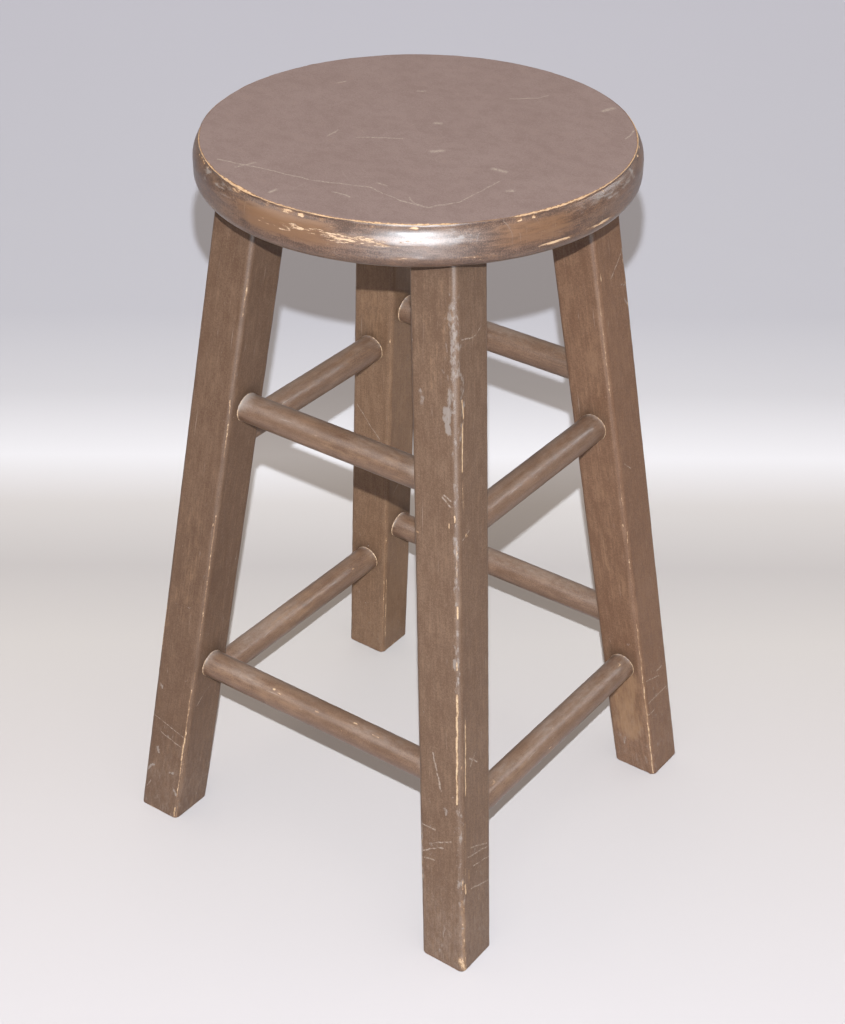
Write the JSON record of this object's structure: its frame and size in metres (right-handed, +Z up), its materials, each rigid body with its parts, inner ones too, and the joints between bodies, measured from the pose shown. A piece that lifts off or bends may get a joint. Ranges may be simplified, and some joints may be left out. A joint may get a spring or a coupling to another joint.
{
  "type": "stool",
  "caption": "Wooden backless stool: a thick round seat on splayed square legs, tied together by two staggered tiers of round rungs.",
  "frame": {"origin": "On the floor, at the middle of the four feet, below the centre of the seat", "axes": "+Z up from the floor to the seat. -Y is the front and +X the right. The legs' flat faces and the rungs run along X and Y, so a corner of the stool is seen from between the two."},
  "size_m": [0.347, 0.341, 0.615],
  "materials": {
    "seat_paint": "dark brown paint, worn matt on the flat top and satin on the rim, bare wood along the top edge",
    "leg_paint": "dark brown satin paint over straight-grained wood, chipped and worn along the outer corners",
    "rung_paint": "dark brown satin paint, streaked along the rung",
    "pin_wood": "bare hardwood"
  },
  "bodies": {
    "root": {"seat": "seat_paint", "leg_front_left": "leg_paint", "leg_front_right": "leg_paint", "leg_rear_left": "leg_paint", "leg_rear_right": "leg_paint", "rung_upper_front": "rung_paint", "rung_upper_rear": "rung_paint", "rung_upper_left": "rung_paint", "rung_upper_right": "rung_paint", "rung_lower_front": "rung_paint", "rung_lower_rear": "rung_paint", "rung_lower_left": "rung_paint", "rung_lower_right": "rung_paint", "seat_pin_front_left": "pin_wood", "seat_pin_front_right": "pin_wood", "seat_pin_rear_left": "pin_wood", "seat_pin_rear_right": "pin_wood"}
  },
  "joints": []
}
